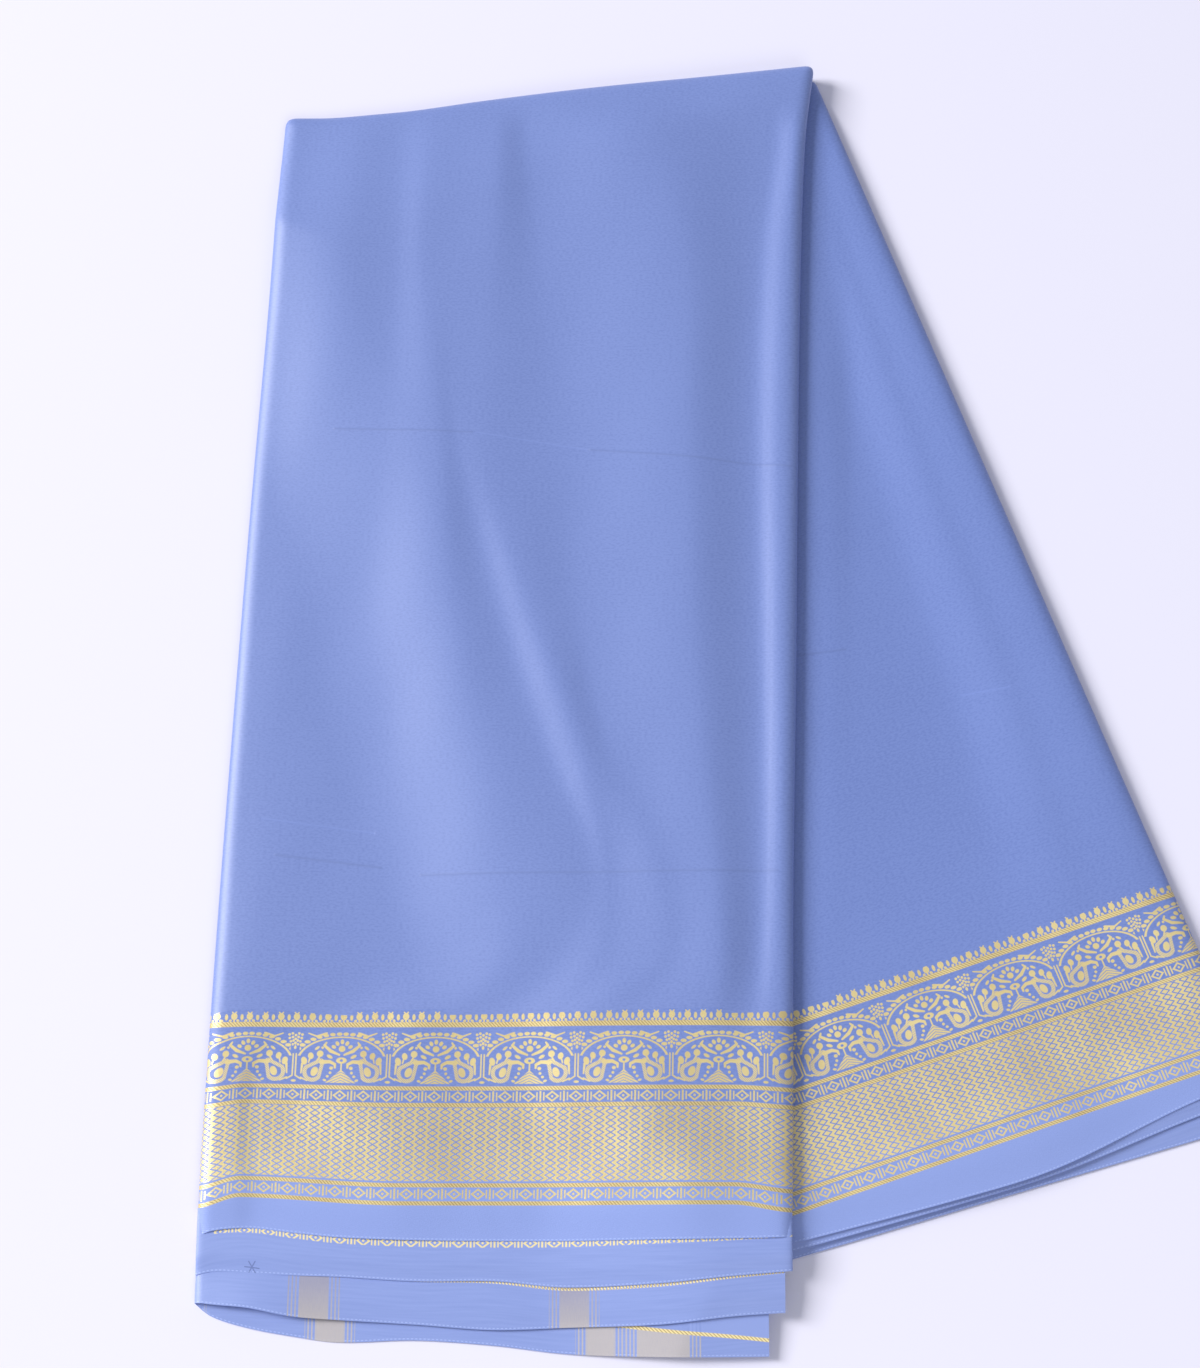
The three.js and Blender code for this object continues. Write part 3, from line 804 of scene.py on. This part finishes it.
def silk(name, creases, shine=SATIN_SHINE):
    """Plain satin; a crease has its ends, half width and height: ridges get painted shade, grooves
    a painted highlight.
    """
    loom = Loom(name)
    _, _, cloth = loom.map("Cloth")
    grain, slub = weave(loom, cloth)
    body = stitched(loom, silk_ground(loom, cloth, slub), SILK)
    loom.give("Roughness", SATIN_ROUGHNESS)
    loom.give("Specular IOR Level", shine)
    height = loom.plus(loom.times(grain, 0.5), loom.times(slub, 0.5))
    for x0, y0, x1, y1, half, lift in creases:
        line = loom.stroke(cloth, x0, y0, x1, y1, 0.0)
        mark = loom.less(1.0, loom.sum("DIVIDE", line, half), clamp=True)
        mark = loom.times(mark, mark)
        height = loom.scaled(mark, lift, height)
        # Painted shade on a crease's ridge, painted highlight in its groove
        painted_crease_shading = tuple(c * (0.84 if lift > 0 else 1.07) for c in SILK[:3]) + (1.0,)
        body = loom.mix(loom.times(mark, 0.75), body, painted_crease_shading)
    loom.give("Base Color", body)
    sheen_and_bump(loom, height, *SILK_BUMP)
    return loom.material


def diamonds_and_bars(loom, u, v, low, high):
    """Eyed diamonds with three bars between them."""
    pitch = ARCH_PITCH / 4
    x = loom.repeat(u, pitch)
    y = loom.less(v, (low + high) / 2)
    rise = loom.sum("ABSOLUTE", y)
    lozenge = loom.less(loom.scaled(rise, 1.3, x), 2.75)
    lozenge = loom.times(lozenge, 0.61)
    eye = loom.less(loom.vector("LENGTH", loom.point(x, y), out="Value"), 0.55)
    bar_x = loom.less(pitch / 2, x)
    tall = loom.both(loom.less(bar_x, 0.42), loom.less(rise, 2.4))
    side = loom.sum("ABSOLUTE", loom.less(bar_x, 1.6))
    short = loom.both(loom.less(side, 0.32), loom.less(rise, 1.9))
    return loom.either([loom.ring(lozenge, 0.38), eye, tall, short])


def lattice(loom, u, v):
    """Columns of small diamonds, outlined so that zigzag stripes stand between them."""
    pitch = ARCH_PITCH / 8
    step = 2.72
    column = loom.sum("FLOOR", loom.sum("DIVIDE", loom.plus(u, pitch / 2), pitch))
    odd = loom.times(loom.sum("FLOORED_MODULO", column, 2.0), step / 2)
    y = loom.repeat(loom.plus(v, odd), step)
    away = loom.scaled(loom.repeat(u, pitch), 0.6, y)
    away = loom.times(loom.less(away, step / 2), 0.86)
    shape = loom.outside(loom.ring(away, 0.26))
    return loom.both(shape, loom.band(v, *LATTICE))


def arch_row(loom, u, v):
    """Scalloped arches over hooked paisleys, a fan flower and a stepped triangle."""
    x = loom.repeat(u, ARCH_PITCH)
    y = loom.less(v, ARCH_ROW[0])
    at = loom.point(x, y)
    drawn = loom.blob(at, *ARCH_OVALS[0])
    for oval in ARCH_OVALS[1:]:
        drawn = loom.sum("MINIMUM", drawn, loom.blob(at, *oval))
    for stroke in ARCH_STROKES:
        drawn = loom.sum("MINIMUM", drawn, loom.stroke(at, *stroke))
    eye = loom.blob(at, 0.0, 10.5, 0.75, 0.6)
    shapes = [loom.both(drawn, loom.outside(eye))]
    # Stepped triangle under the arch's middle, cut by chevrons
    slope = loom.less(loom.scaled(y, 1.13, x), 7.0)
    chevron = loom.repeat(loom.scaled(x, 0.45, y), 1.25)
    triangle = loom.both(loom.times(slope, 0.66), loom.outside(loom.plus(y, 0.1)))
    shapes.append(loom.both(triangle, loom.less(0.16, chevron)))
    # Paisley: a ribbed ring round its drop, with its tail swept over
    body = loom.stroke(at, 13.2, 5.0, 9.8, 9.4, 4.7, 2.0)
    ring = loom.ring(loom.plus(body, 0.95), 0.95)
    ribs = loom.less(0.1, loom.repeat(loom.plus(v, u), 1.0))
    shapes.append(loom.both(ring, ribs))
    # Arch: a thin line with beads above it
    line = loom.blob(at, 0.0, 10.0, 20.4, 11.5)
    above = loom.less(12.6, y)
    shapes.append(loom.both(loom.ring(line, 0.32), above))
    turn = loom.sum("ARCTAN2", loom.less(y, 9.8), loom.times(x, 0.62))
    bead_x = loom.times(loom.repeat(turn, 0.15), 13.6)
    outer = loom.less(line, 1.5)
    bead = loom.vector("LENGTH", loom.point(bead_x, outer), out="Value")
    bead = loom.less(bead, 0.82)
    shapes.append(loom.both(loom.both(bead, above), loom.less(x, 19.8)))
    return loom.both(loom.either(shapes), loom.band(v, *ARCH_ROW))


def buds(loom, u, v):
    """A round and a slim bud in turn, with leaf tips between them, on the top rope."""
    pitch = ARCH_PITCH / 6
    x = loom.repeat(u, pitch)
    at = loom.point(x, loom.less(v, BUD_ROW[0]))
    shapes = [
        loom.blob(at, 0.0, 2.6, 1.5, 1.7), loom.blob(at, pitch / 2, 2.2, 0.75, 1.5),
        loom.stroke(at, 0.0, 0.0, 0.0, 1.6, 0.4), loom.blob(at, 1.75, 0.6, 0.75, 0.6, -30),
        loom.stroke(at, 0.3, 3.9, 0.9, 4.6, 0.3),
    ]
    return loom.either(shapes)


def border_silk(name, phase, mirror):
    """Silk with the woven metal-thread border; phase is where an arch has its middle, in mm.
    mirror is how far the thread reflects as plain metal; the rest scatters the light."""
    loom = Loom(name)
    u, v, cloth = loom.map("Cloth")
    u = loom.less(u, phase)
    v = loom.times(v, BORDER_STRETCH)
    grain, slub = weave(loom, cloth)
    shapes = [loom.band(v, low, high) for low, high in ROPES]
    rope_fill = loom.fill(loom.either(shapes))
    for low, high in DIAMOND_ROWS:
        row = diamonds_and_bars(loom, u, v, low, high)
        shapes.append(loom.both(row, loom.band(v, low, high)))
    shapes += [lattice(loom, u, v), arch_row(loom, u, v), buds(loom, u, v)]
    gold = loom.fill(loom.either(shapes))
    # Threads that lie across the gold and a rope's twisted strands, with painted shade between
    # them
    threads = loom.repeat(loom.scaled(u, 0.35, v), 0.42)
    threads = loom.times(threads, 4.76)
    shade = loom.mix(rope_fill, loom.point(threads, 0.0), loom.point(twist(loom, u, v), 0.0))
    parts = loom.nodes.new("ShaderNodeSeparateXYZ")
    loom.links.new(shade, parts.inputs[0])
    shade = parts.outputs["X"]
    # The gold goes towards its painted shade between threads and strands, and at random by a slow
    # noise
    slow = loom.noise(cloth, 1.0, 2.0, (0.03, 0.02, 1.0))
    painted_shade_and_tone = loom.scaled(slow, 1.2, -0.25, clamp=True)
    hidden = loom.scaled(rope_fill, 0.75, 0.2)
    hidden = loom.times(loom.less(1.0, shade), hidden)
    painted_shade_and_tone = loom.plus(hidden, painted_shade_and_tone)
    metal = loom.mix(loom.times(painted_shade_and_tone, 0.75, clamp=True), GOLD, GOLD_SHADED)
    # The border's ground is painted lighter towards its lower edge, over its first 30 mm
    up = loom.sum("DIVIDE", v, 30.0, clamp=True)
    ground = loom.mix(up, SILK_HEM_LIT, silk_ground(loom, cloth, slub))
    ground = stitched(loom, ground, SILK_HEM_LIT)
    loom.give("Base Color", loom.mix(gold, ground, metal))
    loom.give("Metallic", loom.times(gold, mirror))
    rough = loom.scaled(gold, -0.02, 0.5)
    loom.give("Roughness", rough)
    lift = loom.repeat(loom.scaled(u, 0.35, v), 0.84)
    sheen_and_bump(loom, loom.scaled(lift, 1.2, grain), *BORDER_BUMP)
    return loom.material


# Tacking stitches of the small star, round its place from the hem
STAR_PLACE = (26.0, -17.6, 0.0)
STAR = [(-3.4, 0.2, 3.2, -0.3), (-1.6, 2.6, 1.5, -2.4), (1.3, 2.7, -1.4, -2.2)]
# The border's rope on the fold beneath: a place on it, its fall, and where it starts to show
UNDER_ROPE = ((594.5, -19.0), 0.1815, 560.0)


def pallu_silk(name, bands=(), v_bright=None, sliver=None, thread=None):
    """Silk of the lower hems, crossed by pale gold weft bands: middle, half width of each in mm.
    sliver and thread are the border's curved edges that show: middle, depth, half length."""
    loom = Loom(name)
    u, v, cloth = loom.map("Cloth")
    grain, slub = weave(loom, cloth)
    tint = loom.scaled(loom.less(slub, 0.5), 0.9, 0.3, clamp=True)
    # The hem silk, painted lighter, mixed with the body silk by the slubs
    body = loom.mix(tint, SILK_HEM_LIT, SILK)
    shapes = []
    for middle, half in bands:
        away = loom.sum("ABSOLUTE", loom.less(u, middle))
        solid = loom.less(away, half)
        lines = loom.less(loom.repeat(away, 1.7, 0.3), 0.32)
        beside = loom.both(loom.less(away, half + 5.2), lines)
        shapes += [solid, beside]
    body = stitched(loom, body, SILK_HEM_LIT)
    gold = None
    if shapes:
        gold = loom.fill(loom.either(shapes), 0.3)
        streak = loom.noise(cloth, 1.0, 2.0, (4.0, 0.25, 1.0))
        low, high = v_bright
        bright = loom.sum("DIVIDE", loom.less(v, low), high - low, clamp=True)
        uneven = loom.less(streak, 0.5)
        bright = loom.scaled(uneven, 0.8, bright, clamp=True)
        metal = loom.mix(bright, PALE_ZARI, DULL_ZARI)
        body = loom.mix(loom.times(gold, 0.82), body, metal)
    if thread:
        # The border under it shows as a thin line at the hem above, its rope on the fold beneath
        dotted = loom.less(loom.repeat(u, 1.5), 0.5)
        line = loom.both(dotted, sag(loom, u, v, *thread))
        (rope_u, rope_v), fall, start = UNDER_ROPE
        slant = loom.plus(loom.scaled(u, fall, v), -rope_v - rope_u * fall)
        under = loom.less(start, u)
        rope_line = loom.both(loom.less(loom.sum("ABSOLUTE", slant), 0.85), under)
        plain = loom.fill(loom.both(under, loom.less(-0.8, slant)))
        body = loom.mix(plain, body, SILK_HEM_LIT)
        # Painted shade between the rope's strands
        thread_gold = loom.mix(twist(loom, u, v), GOLD_SHADED, GOLD)
        body = loom.mix(loom.fill(loom.either([line, rope_line])), body, thread_gold)
    if sliver:
        # The border of this layer looks out from under the hem above it, deepest at the middle
        row = diamonds_and_bars(loom, u, loom.plus(v, sliver[1] + 0.4), 0.0, 5.0)
        row = loom.both(row, loom.less(8.0, u))
        gold = loom.fill(loom.both(row, sag(loom, u, v, *sliver)))
        body = loom.mix(gold, body, GOLD)
        # A small star of tacking stitches near the hem
        at = loom.vector("SUBTRACT", cloth, STAR_PLACE)
        star = loom.fill(loom.either([loom.stroke(at, *stitch, 0.25) for stitch in STAR]), 0.3)
        body = loom.mix(loom.times(star, 0.7), body, TACKING)
    loom.give("Base Color", body)
    if gold is not None:
        loom.give("Metallic", loom.times(gold, 0.35))
    loom.give("Roughness", SATIN_ROUGHNESS)
    loom.give("Specular IOR Level", SATIN_SHINE)
    sheen_and_bump(loom, grain, *SILK_BUMP)
    return loom.material


def layers_silk(name):
    loom = Loom(name)
    place = loom.nodes.new("ShaderNodeTexCoord")
    in_mm = loom.vector("MULTIPLY", place.outputs["Object"], (1000.0, 1000.0, 1000.0))
    plies = loom.noise(in_mm, 1.0, 2.0, (0.02, 0.02, 5.2))
    grain = loom.noise(in_mm, 1.0, 2.0, (2.6, 2.6, 2.6))
    tint = loom.scaled(loom.less(plies, 0.5), 2.2, 0.45, clamp=True)
    loom.give("Base Color", loom.mix(tint, SILK, SILK_DEEP))
    loom.give("Roughness", 0.46)
    height = loom.scaled(plies, 3.0, grain)
    sheen_and_bump(loom, height, *FOLDS_BUMP)
    return loom.material


# The saree

# Where an arch has its middle on each leaf, across the cloth
ARCH_FRONT = (-98.9 + 251.2) / 276.2 * PANEL_WIDTH
ARCH_BACK = 8.0
front_creases = [
    (40.0, 384.0, 110.0, 381.0, 1.5, 2.7), (110.0, 381.0, 168.0, 372.0, 1.3, -3.4),
    (168.0, 372.0, 268.0, 363.0, 1.5, 2.4), (18.0, 184.0, 72.0, 177.0, 1.4, -3.1),
    (26.0, 166.0, 76.0, 160.0, 1.6, 2.4), (96.0, 156.0, 265.0, 157.0, 1.6, 1.7),
]
back_creases = [(96.0, 262.0, 170.0, 250.0, 1.6, 2.0), (215.0, 210.0, 238.0, 206.0, 1.5, -2.4)]
body_front = silk("silk front", front_creases)
# Turned across the light, the back leaf's satin shines less
body_back = silk("silk back", back_creases, 0.5)
border_front = border_silk("zari border front", ARCH_FRONT, 0.55)
border_back = border_silk("zari border back", ARCH_BACK, 0.25)
folds_silk = layers_silk("silk folds")
second_silk = pallu_silk("silk second hem", sliver=(115.0, 3.0, 152.0))
plain_hem = pallu_silk("silk plain hem")
# How much further along the cloth the pallu's under part is mapped than its upper part
UNDER_SHIFT = 392.5
pallu_bands = [(54.5, 6.6), (173.5, 6.3), (454.5, 6.3), (578.0, 6.2), (606.5, 12.0)]
pallu_front = pallu_silk("silk pallu", pallu_bands, (-19.0, -2.0), thread=(195.0, 1.5, 95.0))


def two_finishes(sheet, body, border):
    """The border's finish below its top edge, the plain silk's above it."""
    sheet.data.materials.append(body)
    sheet.data.materials.append(border)
    cloth = sheet.data.uv_layers["Cloth"].data
    for face in sheet.data.polygons:
        v = sum(cloth[loop].uv.y for loop in face.loop_indices) / face.loop_total
        face.material_index = 1 if v < BORDER_TOP * MM else 0


def declare(piece, nodes):
    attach(piece, "root")
    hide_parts(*nodes)


def leaf_ground(x, y):
    return LIFT + 0.1 if past_back_leaf(x, y) < 0.6 else 0.0


def front_folds_plan(across, down):
    x, _ = front_plan(across, down)
    return x, between(read(FRONT_ENDS, across, FOLD), FRONT_LAYERS_END, down)


def back_folds_plan(across, down):
    start = back_far_left.lerp(BACK_CORNER, across)
    hem_across = (BACK_HEM[1] - BACK_HEM[0]).normalized()
    lean_out = -hem_across.y * down_back.x + hem_across.x * down_back.y
    end = on_back_hem(start) + down_back * (BACK_LAYERS_SHORT / lean_out)
    spot = start.lerp(end, down)
    return spot.x, spot.y


front_panel = leaf_panel(
    "front_panel", front_plan, support, front_rise, v_front,
    flat_across=100, flat_down=200, droop=1.35,
)
finish_sheet(front_panel)
two_finishes(front_panel, body_front, border_front)

back_panel = leaf_panel(
    "back_panel", back_plan, on_floor, back_rise, v_back,
    flat_across=84, flat_down=180, droop=1.3,
)
finish_sheet(back_panel)
two_finishes(back_panel, body_back, border_back)

FOLD_RUNS = (12.0, 8.0, 8.0, 4.0)  # of the rim: left, right, far and hem
front_folds = leaf_folds(
    "front_folds", front_folds_plan, support, leaf_ground,
    flat_across=22, flat_down=76, runs=FOLD_RUNS,
)
front_folds.data.materials.append(folds_silk)
back_folds = leaf_folds(
    "back_folds", back_folds_plan, on_floor, on_floor,
    flat_across=22, flat_down=76, runs=FOLD_RUNS,
)
back_folds.data.materials.append(folds_silk)


def front_strip_spot(hem):
    def spot(across, outwards):
        x, _ = front_plan(across, 1.0)
        return x, between(FRONT_LAYERS_END - 0.4, read(FRONT_ENDS, across, hem), outwards)

    return spot


def back_strip_spot(short):
    def spot(across, outwards):
        start = Vector(back_folds_plan(across, 1.0))
        end = Vector(back_plan(across, 1.0, short))
        here = start.lerp(end, outwards)
        return here.x, here.y

    return spot


def past_hem(hem):
    """How far up the cloth a place is from a hem of the front leaf."""
    left, right = front_plan(0.0, 1.0)[0], front_plan(1.0, 1.0)[0]
    return lambda x, y: y - read(FRONT_ENDS, (x - left) / (right - left), hem)


second = hem_strip(
    "front_second_layer", front_strip_spot(SECOND_HEM), support, past_hem(TOP_HEM),
    level=5.0, droop=1.2, run=4.0, drop=1.7, flat_across=90,
)
finish_sheet(second)
second.data.materials.append(second_silk)

back_second = hem_strip(
    "back_second_layer", back_strip_spot(2), on_floor, v_back,
    level=5.2, droop=1.6, run=4.0, drop=2.2, flat_across=80,
)
finish_sheet(back_second)
back_second.data.materials.append(plain_hem)
back_lowest = hem_strip(
    "back_lowest_layer", back_strip_spot(3), on_floor, v_back,
    level=2.4, droop=1.5, run=4.0, drop=2.0, flat_across=80,
)
finish_sheet(back_lowest)
back_lowest.data.materials.append(plain_hem)


def pallu_fold():
    """The pallu's end, turned under at its left edge like a flat tube, open towards the hem."""
    flat, bend = 90, 14
    columns = [("under", 1.0 - n / flat) for n in range(flat)]
    columns += [("bend", n / bend) for n in range(bend + 1)]
    columns += [("over", (n + 1) / flat) for n in range(flat)]
    rows = [n / 20 for n in range(21)]
    half = 1.5  # of the tube's height
    inset = 4.0 / PANEL_WIDTH
    up_cloth = past_hem(SECOND_HEM)

    def place(column, outwards):
        kind, share = column
        if kind == "bend":
            turn = math.pi * share
            across = inset - inset * math.sin(turn)
            height = half * (1 - math.cos(turn)) + 0.1
            over = eased(share, 0.0, 1.0)
        else:
            over = 1.0 if kind == "over" else 0.0
            short = between(11.0, 3.5, over)  # of the right edge
            across = between(inset, 1.0 - short / PANEL_WIDTH, share)
            height = 0.1 + 2 * half * over
        along = across * PANEL_WIDTH
        low = read(FRONT_ENDS, across, LOWEST_HEM)
        high = read(FRONT_ENDS, across, PALLU_HEM)
        x, _ = front_plan(across, 1.0)
        y = between(FRONT_LAYERS_END - 0.4, between(low, high, over), outwards)
        mouth = 2.4 * math.exp(-(((across - 0.1) / 0.1) ** 2)) * eased(outwards, 0.45, 1.0)
        to_hem = (1 - outwards) * (FRONT_LAYERS_END - between(low, high, over))
        droop = 1.0 * over * (1 - eased(to_hem, 0.0, 10.0)) * eased(across, 0.16, 0.34)
        z = support(x, y) + height + mouth * over - droop
        if kind == "under":
            along += UNDER_SHIFT
        return (x, y, z), (along, up_cloth(x, y)), (to_hem, along)

    return grid_sheet("front_pallu_fold", columns, rows, place)


pallu = pallu_fold()
finish_sheet(pallu, 0.45)
pallu.data.materials.append(pallu_front)

declare(front_panel, ["front_leaf_wrap"])
declare(back_panel, ["back_leaf_wrap"])
declare(front_folds, ["front_leaf_layers"])
declare(back_folds, ["back_leaf_layers"])
declare(second, ["front_second_hem"])
declare(pallu, ["front_pallu_hem", "front_lowest_hem"])
declare(back_second, ["back_second_hem"])
declare(back_lowest, ["back_lowest_hem"])


# Floor, light and camera

bpy.ops.mesh.primitive_plane_add(size=8, location=(0, 0, -0.0003))
floor = bpy.context.active_object
floor.name = "floor"
pale = Loom("pale floor")
pale.give("Base Color", (0.83, 0.82, 0.96, 1.0))
pale.give("Roughness", 0.85)
floor.data.materials.append(pale.material)


def softbox(name, place, size, power, colour):
    """A soft light that faces the middle of the floor."""
    bpy.ops.object.light_add(type="AREA", location=place)
    light = bpy.context.active_object
    light.name = name
    light.data.shape = "RECTANGLE"
    light.data.size, light.data.size_y = size
    light.data.energy = power
    light.data.color = colour
    light.rotation_euler = (-Vector(place)).to_track_quat("-Z", "Y").to_euler()


softbox("softbox above", (-5.2, 1.4, 3.7), (2.0, 3.0), 480.0, (1.0, 0.985, 0.97))
softbox("softbox front", (0.5, -1.6, 1.6), (1.4, 0.9), 9.0, (0.95, 0.97, 1.0))
room = bpy.data.worlds.new("studio")
bpy.context.scene.world = room
room.use_nodes = True
room.node_tree.nodes["Background"].inputs["Color"].default_value = (0.90, 0.92, 1.0, 1.0)
room.node_tree.nodes["Background"].inputs["Strength"].default_value = 0.38
bpy.context.scene.view_settings.view_transform = "Standard"

TARGET = Vector((-0.0645, -0.0054, 0.0))
bpy.ops.object.camera_add(location=TARGET + Vector((0.0, -0.3306, 1.1920)))
camera = bpy.context.active_object
camera.name = "camera"
camera.rotation_euler = (TARGET - camera.location).to_track_quat("-Z", "Y").to_euler()
camera.data.lens = 65.79
camera.data.sensor_width = 36.0
bpy.context.scene.camera = camera
